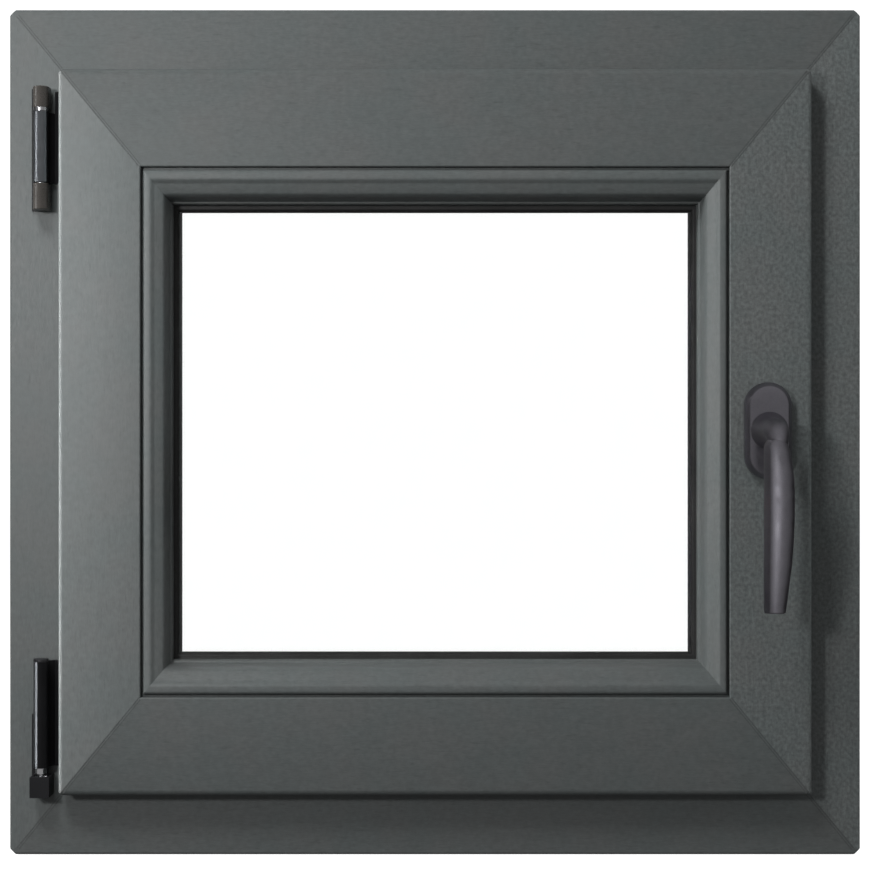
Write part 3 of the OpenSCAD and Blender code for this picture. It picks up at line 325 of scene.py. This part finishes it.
def refined(node, width):
    """A node's shape as clean polygons, with its sharp edges rounded by width (metres)."""
    source = frame["nodes"][node]
    bm = bmesh.new()
    bm.from_mesh(source.data)
    bmesh.ops.remove_doubles(bm, verts=bm.verts, dist=WELD_DIST)
    bmesh.ops.dissolve_limit(bm, angle_limit=math.radians(FLAT_ANGLE), verts=bm.verts,
                             edges=bm.edges)
    mesh = bpy.data.meshes.new(node + "_mesh")
    bm.to_mesh(mesh)
    bm.free()
    smooth(mesh)
    piece = new_piece(node + "_detail", mesh, node, replaced=[node])
    # Faces past the barrel take near-black paint: a dark leaf with painted shade and, on the corner
    # hinge, a painted dark reflection on the barrel
    if node in DARK_LEAF_AND_PAINTED_SHADE_BEYOND:
        mesh.materials.append(FINISH["dark_hinge"])
        away = DARK_LEAF_AND_PAINTED_SHADE_BEYOND[node]
        for face in mesh.polygons:
            if face.center.x > HINGE_X + away or face.center.y > HINGE_Y + away:
                face.material_index = 1
    bevel = piece.modifiers.new("rounded edges", "BEVEL")
    bevel.width = width
    bevel.segments = 2
    bevel.limit_method = "ANGLE"
    bevel.angle_limit = math.radians(SHARP_ANGLE)
    bevel.harden_normals = True
    bevel.use_clamp_overlap = True


def loft(name, rings):
    """A closed mesh through rings of points in metres, all with the same number of points."""
    bm = bmesh.new()
    loops = [[bm.verts.new(p) for p in ring] for ring in rings]
    count = len(rings[0])
    for a, b in zip(loops, loops[1:]):
        for i in range(count):
            j = (i + 1) % count
            bm.faces.new((a[i], a[j], b[j], b[i]))
    bm.faces.new(list(reversed(loops[0])))
    bm.faces.new(loops[-1])
    bmesh.ops.recalc_face_normals(bm, faces=bm.faces)
    mesh = bpy.data.meshes.new(name)
    bm.to_mesh(mesh)
    bm.free()
    return mesh


def arc(u, h, r, start, end, steps):
    """Points (u, h) of an arc in a section, angles in degrees."""
    turns = [math.radians(start + (end - start) * i / steps) for i in range(steps + 1)]
    return [(u + r * math.cos(t), h + r * math.sin(t)) for t in turns]


def mitred(name, side, profile, node):
    """A mitred length of moulding on one side of the window.

    profile holds (u, y) points in millimetres: u inward from the window's outer edge over a
    stile, and y the depth. Rails have u times the mitre ratio.
    """
    rings = [[], []]
    for u, y in profile:
        if side in ("left", "right"):
            x = (u - HALF_W) * (1 if side == "left" else -1)
            ends = ((x, y, u * MITRE), (x, y, HEIGHT - u * MITRE))
        else:
            z = u * MITRE if side == "bottom" else HEIGHT - u * MITRE
            ends = ((u - HALF_W, y, z), (HALF_W - u, y, z))
        for ring, end in zip(rings, ends):
            ring.append(Vector(end) * MM)
    mesh = loft(name + "_mesh", rings)
    smooth(mesh)
    new_piece(name, mesh, node, replaced=[node])


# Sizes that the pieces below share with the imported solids, in millimetres
sill_low, sill_high = (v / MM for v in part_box("frame_sill"))
HALF_W = sill_high.x
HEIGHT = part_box("frame_head")[1].z / MM
bead_low, bead_high = (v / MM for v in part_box("bead_hinge_side"))
BEAD_OUTER = bead_low.x + HALF_W
MITRE = bead_low.z / BEAD_OUTER
BEAD_INNER = bead_high.x + HALF_W
BEAD_FRONT = bead_low.y
BEAD_BACK = bead_high.y
GASKET_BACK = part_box("bead_gasket")[1].y / MM

MEMBERS = ["frame_head", "frame_sill", "frame_hinge_jamb", "frame_lock_jamb",
           "sash_top_rail", "sash_bottom_rail", "sash_hinge_stile", "sash_lock_stile"]
MEMBER_EDGE = 0.75 * MM
for name in MEMBERS:
    refined(name, MEMBER_EDGE)

# Beads: a rounded nose, a flat, a small step, a gentle slope, then a steep fall to a narrow ledge
BEAD_GROOVE = 1.6          # width of the groove between sash and bead
GROOVE_DEEP = 4.5
NOSE_R = 1.9
bead_nose = arc(BEAD_GROOVE + NOSE_R, NOSE_R, NOSE_R, 180, 270, 6)
bead_steps = [(6.0, 0.0), (6.8, 0.15), (7.6, 0.6), (8.5, 1.4), (9.2, 1.9), (10.0, 2.2), (13.8, 4.2),
              (14.6, 4.6), (15.3, 5.4), (16.0, 7.0), (16.6, 9.5), (17.1, 13.0), (17.5, 17.0),
              (17.8, 18.9), (18.2, 19.7), (18.9, 19.9), (19.3, 20.4), (19.5, 21.4)]
bead_width = BEAD_INNER - BEAD_OUTER
bead_depth = BEAD_BACK - BEAD_FRONT
BEAD = [(0.0, bead_depth), (0.0, GROOVE_DEEP), (BEAD_GROOVE, GROOVE_DEEP)] + bead_nose + bead_steps
BEAD += [(bead_width, 24.0), (bead_width, bead_depth)]
BEAD = [(BEAD_OUTER + u, BEAD_FRONT + h) for u, h in BEAD]
SIDES = {"top": "bead_top", "bottom": "bead_bottom",
         "left": "bead_hinge_side", "right": "bead_lock_side"}
for side, node in SIDES.items():
    mitred(node + "_detail", side, BEAD, node)

# The gasket between bead and glass: a rolled lip with a small fold behind it
lip = BEAD_INNER + 1.7
LIP = [(lip - 3.5, GASKET_BACK), (lip - 3.5, BEAD_BACK), (BEAD_INNER, BEAD_BACK + 0.1)]
LIP += arc(lip - 0.2, BEAD_BACK + 1.7, 1.5, 250, 380, 7)
LIP += [(lip + 1.6, BEAD_BACK + 2.6), (lip + 1.8, GASKET_BACK)]
for side in SIDES:
    mitred("bead_gasket_" + side, side, LIP, "bead_gasket")

# The welded seams: two thin lines along each mitre, with painted shade on one flank and a painted
# highlight on the other
FRAME_FACE = sill_low.y
FRAME_BACK = sill_high.y
SASH_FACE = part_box("sash_bottom_rail")[0].y / MM
LIP_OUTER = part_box("sash_hinge_stile")[0].x / MM + HALF_W
SEAM_LINES = ((-1.25, -0.8, -0.35), (0.35, 0.8, 1.25))     # edge, crest and edge of each line
SEAM_LIFT = 0.02
SEAM_CREST = 0.05


def seam(name, start_u, end_u, y, out, node):
    """Seams at the four corners between two distances from the window's outer edge.

    y is the face that they lie on, and out is -1 or 1, the way that it faces.
    """
    mesh = bpy.data.meshes.new(name + "_mesh")
    bm = bmesh.new()
    slope = Vector((1, 0, MITRE)).normalized()
    side = Vector((-slope.z, 0, slope.x))
    for flip_x in (1, -1):
        for flip_z in (1, -1):
            for line in SEAM_LINES:
                rows = []
                for u in (start_u, end_u):
                    start = Vector((u - HALF_W, y, u * MITRE))
                    row = []
                    for step, crest in zip(line, (0, SEAM_CREST, 0)):
                        p = start + side * step + Vector((0, out * (crest + SEAM_LIFT), 0))
                        p.x *= flip_x
                        if flip_z < 0:
                            p.z = HEIGHT - p.z
                        row.append(bm.verts.new(p * MM))
                    rows.append(row)
                near, far = rows
                for i in (0, 1):
                    face = bm.faces.new((near[i], near[i + 1], far[i + 1], far[i]))
                    # The first flank of each line takes the painted shade, the second the painted
                    # highlight
                    face.material_index = i
    bm.to_mesh(mesh)
    bm.free()
    new_piece(name, mesh, node, SEAM_PAINTED_SHADE)
    mesh.materials.append(SEAM_PAINTED_HIGHLIGHT)


CORNER_CLEAR = 3.5         # from the outer edge to a seam's start, past the cut corner
BACK_FACE_W = 62.0         # width of the frame's weather face
seam("frame_seams_front", CORNER_CLEAR, LIP_OUTER + 2, FRAME_FACE, -1, "frame_hinge_jamb")
seam("frame_seams_back", CORNER_CLEAR, BACK_FACE_W, FRAME_BACK, 1, "frame_hinge_jamb")
seam("sash_seams", LIP_OUTER + 3.2, BEAD_OUTER - 0.6, SASH_FACE, -1, "sash_hinge_stile")

# Hardware in sight: rounded edges, and the hinges' barrels apart from their near-black leaves,
# which carry painted shade and, on the corner hinge, a painted dark reflection
CAP_EDGE = 0.5 * MM
HARDWARE_EDGE = 0.3 * MM
for name in ("stay_arm", "corner_hinge", "corner_bearing", "stay_bearing", "stay_bearing_caps",
             "corner_hinge_cap", "drain_caps", "lock_keep", "head_keep", "tilt_keep"):
    refined(name, CAP_EDGE if name == "stay_bearing_caps" else HARDWARE_EDGE)


# ---------- handle ----------

rosette_low, rosette_high = (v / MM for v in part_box("handle_rosette"))
AXIS_X = (rosette_low.x + rosette_high.x) / 2
AXIS_Z = (rosette_low.z + rosette_high.z) / 2
FACE_Y = rosette_high.y
ROSETTE_W, ROSETTE_T, ROSETTE_H = rosette_high - rosette_low
GRIP_OUT = FACE_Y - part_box("handle_lever")[0].y / MM
GRIP_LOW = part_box("handle_lever")[0].z / MM - AXIS_Z


def from_axis(x, d, z):
    """A point x right of the handle's axis, d out from the sash face and z above the axis."""
    return Vector((AXIS_X + x, FACE_Y - d, AXIS_Z + z)) * MM


def stadium(inset, d, steps=48):
    """The rosette's outline, moved in by inset, at d from the sash face."""
    r = ROSETTE_W / 2 - inset
    rise = (ROSETTE_H - ROSETTE_W) / 2
    points = []
    for i in range(steps):
        t = 2 * math.pi * (i + 0.5) / steps
        up = rise if math.sin(t) > 0 else -rise
        points.append(from_axis(r * math.cos(t), d, r * math.sin(t) + up))
    return points


# (inset, height) pairs of the rosette's edge, bevel and slightly domed face
ROSETTE = [(0.0, 0.0), (0.0, ROSETTE_T - 5.4), (0.25, ROSETTE_T - 4.7),
           (2.5, ROSETTE_T - 1.1), (3.0, ROSETTE_T - 0.6), (3.6, ROSETTE_T - 0.4),
           (8.0, ROSETTE_T - 0.1), (12.0, ROSETTE_T)]
rosette = loft("rosette_mesh", [stadium(*step) for step in ROSETTE])
smooth(rosette, 28)
new_piece("handle_rosette_detail", rosette, "handle_rosette", replaced=["handle_rosette"])


EASE = 0.35                # share of smooth steps against straight lines between a table's rows


def blend(table, z):
    """Smooth values between the rows of a table of (z, values...), z falling."""
    for upper, lower in zip(table, table[1:]):
        if upper[0] >= z >= lower[0]:
            t = (upper[0] - z) / (upper[0] - lower[0])
            t = t * t * (3 - 2 * t) * EASE + t * (1 - EASE)
            return [a + (b - a) * t for a, b in zip(upper[1:], lower[1:])]
    return list(table[-1][1:])


# Rows of the grip: height from the axis, right edge, front, back
GRIP = [(-10.0, 7.0, GRIP_OUT - 2.0, 41.5), (-20.0, 9.0, GRIP_OUT - 0.8, 41.5),
        (-33.0, 10.4, GRIP_OUT - 0.1, 41.8), (-46.0, 10.8, GRIP_OUT, 42.2),
        (-60.0, 10.7, GRIP_OUT - 0.3, 42.2), (-75.0, 10.2, GRIP_OUT - 0.9, 42.0),
        (-90.0, 9.2, GRIP_OUT - 1.8, 41.6), (-106.0, 7.3, GRIP_OUT - 3.0, 41.2),
        (GRIP_LOW, 5.5, GRIP_OUT - 4.6, 41.5)]
LEFT = -9.3                # straight rear edge of the grip
LEFT_FRONT = -6.9          # its front edge
TOP_R = 8.3                # rounding of the grip's top end
TOP = -3.9                 # top end, from the axis
TOP_FALL = 5.0             # how far the front falls back over the top's rounding
# The front's crown: share of the width, and how far it lies behind the foremost line
CROWN = [(0.12, 0.55), (0.25, 0.15), (0.4, 0.0), (0.55, 0.2), (0.7, 0.85), (0.83, 2.0), (0.93, 3.7)]


def grip_ring(z, shrink=0.0):
    """The grip's outline at a height, drawn in towards its middle by a share of its size."""
    right, front, back = blend(GRIP, min(z, GRIP[0][0]))
    left, face_left = LEFT, LEFT_FRONT
    middle = (left + right) / 2
    if z > TOP - TOP_R:
        share = math.sqrt(max(0.0, 1 - ((z - TOP + TOP_R) / TOP_R) ** 2))
        left, face_left, right = (middle + (x - middle) * share for x in (left, face_left, right))
        front -= (1 - share) * TOP_FALL
    wide = right - face_left
    outline = [(left, back + 0.8), (left + 0.1, back + 4.0), (face_left - 0.25, front - 2.2),
               (face_left + 0.1, front - 1.5), (face_left + 0.7, front - 1.0)]
    outline += [(face_left + share * wide, front - drop) for share, drop in CROWN]
    outline += [(right - 0.1, front - 6.2), (right - 0.1, front - 8.0), (right - 0.9, back + 1.2),
                (right - 2.4, back), (middle, back), (left + 1.2, back)]
    depth = (front + back) / 2
    return [from_axis(x + (middle - x) * shrink, d + (depth - d) * shrink, z) for x, d in outline]


heights = [TOP - TOP_R * (1 - math.cos(math.radians(a))) for a in (6, 18, 32, 48, 64, 78, 90)]
heights += [-16, -21, -27, -33, -40, -46, -53, -60, -68, -76, -84, -92, -99, -106, -112, -117,
            GRIP_LOW + 1.2]
rings = [grip_ring(z) for z in heights]
rings += [grip_ring(GRIP_LOW + 0.35, 0.02), grip_ring(GRIP_LOW, 0.09)]
grip = loft("grip_mesh", rings)

# Neck: leaves the rosette in a flare and bends down into the grip. Rows of (distance from the
# sash face, height from the axis, radius)
NECK = [(ROSETTE_T - 0.6, 0.0, 13.0), (ROSETTE_T + 0.9, 0.0, 13.0), (ROSETTE_T + 1.6, 0.0, 12.6),
        (15.0, 0.0, 11.0), (19.0, 0.0, 9.9), (24.0, 0.0, 9.2), (30.0, -0.1, 8.9), (36.0, -0.5, 8.8),
        (40.5, -1.7, 8.6), (43.2, -4.5, 7.8), (44.4, -8.5, 6.8), (44.8, -13.0, 6.0),
        (44.9, -20.0, 5.0)]


def neck_ring(before, here, after, steps=36):
    """A circle round the neck's path at the middle one of three rows."""
    tangent = Vector((0, after[0] - before[0], after[1] - before[1])).normalized()
    across = Vector((1, 0, 0))
    up = across.cross(tangent)
    points = []
    for i in range(steps):
        t = 2 * math.pi * i / steps
        offset = (across * math.cos(t) + up * math.sin(t)) * here[2]
        points.append(from_axis(offset.x, here[0] + offset.y, here[1] + offset.z))
    return points


rows = NECK[:1] + NECK + NECK[-1:]
neck = loft("neck_mesh", [neck_ring(*three) for three in zip(rows, rows[1:], rows[2:])])
lever = bmesh.new()
lever.from_mesh(grip)
lever.from_mesh(neck)
lever_mesh = bpy.data.meshes.new("lever_mesh")
lever.to_mesh(lever_mesh)
lever.free()
smooth(lever_mesh, 34)
new_piece("handle_lever_detail", lever_mesh, "handle_lever", replaced=["handle_lever"])

for name, obj in frame["nodes"].items():
    obj.data.materials.clear()
    obj.data.materials.append(finish_of(name))


# ---------- stage, light and camera ----------

def floor_white(name):
    """A pale studio floor, lit so evenly that only a faint shadow shows on it."""
    m = Nodes(name)
    m.link(m.ramp(m.noise(3, 2), (0.3, 0.33), (0.7, 0.35)), m.shader.inputs["Base Color"])
    m.set(Roughness=0.9, Specular_IOR_Level=0.1,
          Emission_Color=(1, 1, 1, 1), Emission_Strength=0.98)
    return m.material


FLOOR_HALF = 6.0
FLOOR_Z = -0.0005          # just under the sill
corners = [(x * FLOOR_HALF, y * FLOOR_HALF, 0) for x, y in ((-1, -1), (1, -1), (1, 1), (-1, 1))]
floor_mesh = bpy.data.meshes.new("floor")
floor_mesh.from_pydata(corners, [], [(0, 1, 2, 3)])
floor_mesh.materials.append(floor_white("floor_white"))
floor = bpy.data.objects.new("floor", floor_mesh)
floor.location = (0, 0, FLOOR_Z)
bpy.context.scene.collection.objects.link(floor)
floor.visible_diffuse = False
floor.visible_glossy = False
floor.visible_transmission = False


low, high = (Vector(c) for c in cad_box)
centre = Vector(((low.x + high.x) / 2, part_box("frame_head")[0].y, high.z / 2))


def studio_light(name, side, out, rise, size, power):
    """A round light side to the right of, out in front of and rise above the window's middle."""
    data = bpy.data.lights.new(name, "AREA")
    data.shape = "DISK"
    data.size = size
    data.energy = power
    light = bpy.data.objects.new(name, data)
    light.location = centre + Vector((side, -out, rise))
    light.rotation_euler = (centre - light.location).to_track_quat("-Z", "Y").to_euler()
    bpy.context.scene.collection.objects.link(light)
    return light


soft_box = studio_light("soft_box", -0.45, 0.80, 1.05, 0.45, 18)
key = studio_light("key", -0.70, 1.30, 0.25, 0.16, 9.2)
side_fill = studio_light("side_fill", -1.55, 0.22, 0.60, 0.4, 20)
lock_fill = studio_light("lock_fill", 1.50, 0.09, 0.15, 0.25, 9)
back_fill = studio_light("back_fill", 0.35, -1.45, 0.95, 0.6, 22)
for light in (soft_box, side_fill, back_fill, lock_fill):
    light.visible_glossy = False
back_fill.visible_camera = False
back_fill.visible_transmission = False


def flagged(light, names, state="INCLUDE"):
    """The light reaches the named pieces alone, or all but them."""
    flags = bpy.data.collections.new(light.name + "_flags")
    for name in names:
        flags.objects.link(bpy.data.objects[name])
    for row in flags.collection_objects:
        row.light_linking.link_state = state
    light.light_linking.receiver_collection = flags


STRIP_H = 0.7              # height of the two strip lights beside the hinge side
glint = studio_light("hinge_glint", -0.62, 0.14, 0.0, 0.05, 0.8)
lip_strip = studio_light("lip_strip", -0.62, 0.055, 0.0, 0.03, 5.5)
for strip in (glint, lip_strip):
    strip.data.shape = "RECTANGLE"
    strip.data.size_y = STRIP_H
HINGE_PIECES = ["stay_arm_detail", "stay_bearing_caps_detail", "corner_hinge_detail"]
flagged(glint, HINGE_PIECES)
flagged(lip_strip, ["sash_hinge_stile_detail"])
handle_glint = studio_light("handle_glint", 0.20, 1.2, -0.085, 0.12, 0.9)
flagged(handle_glint, ["handle_lever_detail"])
bead_glint = studio_light("bead_glint", -0.90, 0.50, 0.10, 0.10, 2.6)
flagged(bead_glint, [bead + "_detail" for bead in SIDES.values()])
flagged(key, HINGE_PIECES + ["handle_lever_detail", "handle_rosette_detail"], "EXCLUDE")

# World: the camera sees white round the object and through its glass, and everything else sees
# a dim room that is brighter above and in front
WHITE = 1.15
world = bpy.data.worlds.new("studio")
bpy.context.scene.world = world
world.use_nodes = True
tree = world.node_tree
white = tree.nodes["Background"]
white.inputs["Color"].default_value = (1, 1, 1, 1)
white.inputs["Strength"].default_value = WHITE
soft = tree.nodes.new("ShaderNodeBackground")
soft.inputs["Color"].default_value = (1, 1, 1, 1)
direction = tree.nodes.new("ShaderNodeTexCoord")
parts = tree.nodes.new("ShaderNodeSeparateXYZ")
tree.links.new(direction.outputs["Generated"], parts.inputs[0])


def shaded(part, low_edge, high_edge, dim, bright):
    """The dim studio room: brighter towards one end of an axis."""
    node = tree.nodes.new("ShaderNodeMapRange")
    node.interpolation_type = "SMOOTHSTEP"
    for socket, value in zip(node.inputs[1:5], (low_edge, high_edge, dim, bright)):
        socket.default_value = value
    tree.links.new(parts.outputs[part], node.inputs[0])
    return node.outputs[0]


def combined(operation, a, b):
    """Two sockets through one Math node, kept between 0 and 1."""
    node = tree.nodes.new("ShaderNodeMath")
    node.operation = operation
    node.use_clamp = True
    tree.links.new(a, node.inputs[0])
    tree.links.new(b, node.inputs[1])
    return node.outputs[0]


glow = combined("ADD", shaded("Z", -0.1, 0.9, 0.02, 0.20), shaded("Y", 0.3, -1.0, 0.0, 0.23))
tree.links.new(glow, soft.inputs["Strength"])
path = tree.nodes.new("ShaderNodeLightPath").outputs
# Through the glass, but not in a reflection
through = combined("SUBTRACT", path["Is Transmission Ray"], path["Glossy Depth"])
seen = combined("MAXIMUM", path["Is Camera Ray"], through)
room = tree.nodes.new("ShaderNodeMixShader")
tree.links.new(seen, room.inputs[0])
tree.links.new(soft.outputs[0], room.inputs[1])
tree.links.new(white.outputs[0], room.inputs[2])
tree.links.new(room.outputs[0], tree.nodes["World Output"].inputs["Surface"])

SENSOR = 36.0
CAMERA_AWAY = 1.4          # from the frame's room face
VIEW_WIDTH = 0.6137        # width seen at that face
CAMERA_DROP = 0.0020       # below the window's middle
camera_data = bpy.data.cameras.new("camera")
camera_data.sensor_width = SENSOR
camera_data.lens = SENSOR * CAMERA_AWAY / VIEW_WIDTH
camera = bpy.data.objects.new("camera", camera_data)
camera.location = centre + Vector((0, -CAMERA_AWAY, -CAMERA_DROP))
camera.rotation_euler = (math.radians(90), 0, 0)
bpy.context.scene.collection.objects.link(camera)
bpy.context.scene.camera = camera
bpy.context.scene.view_settings.view_transform = "Standard"
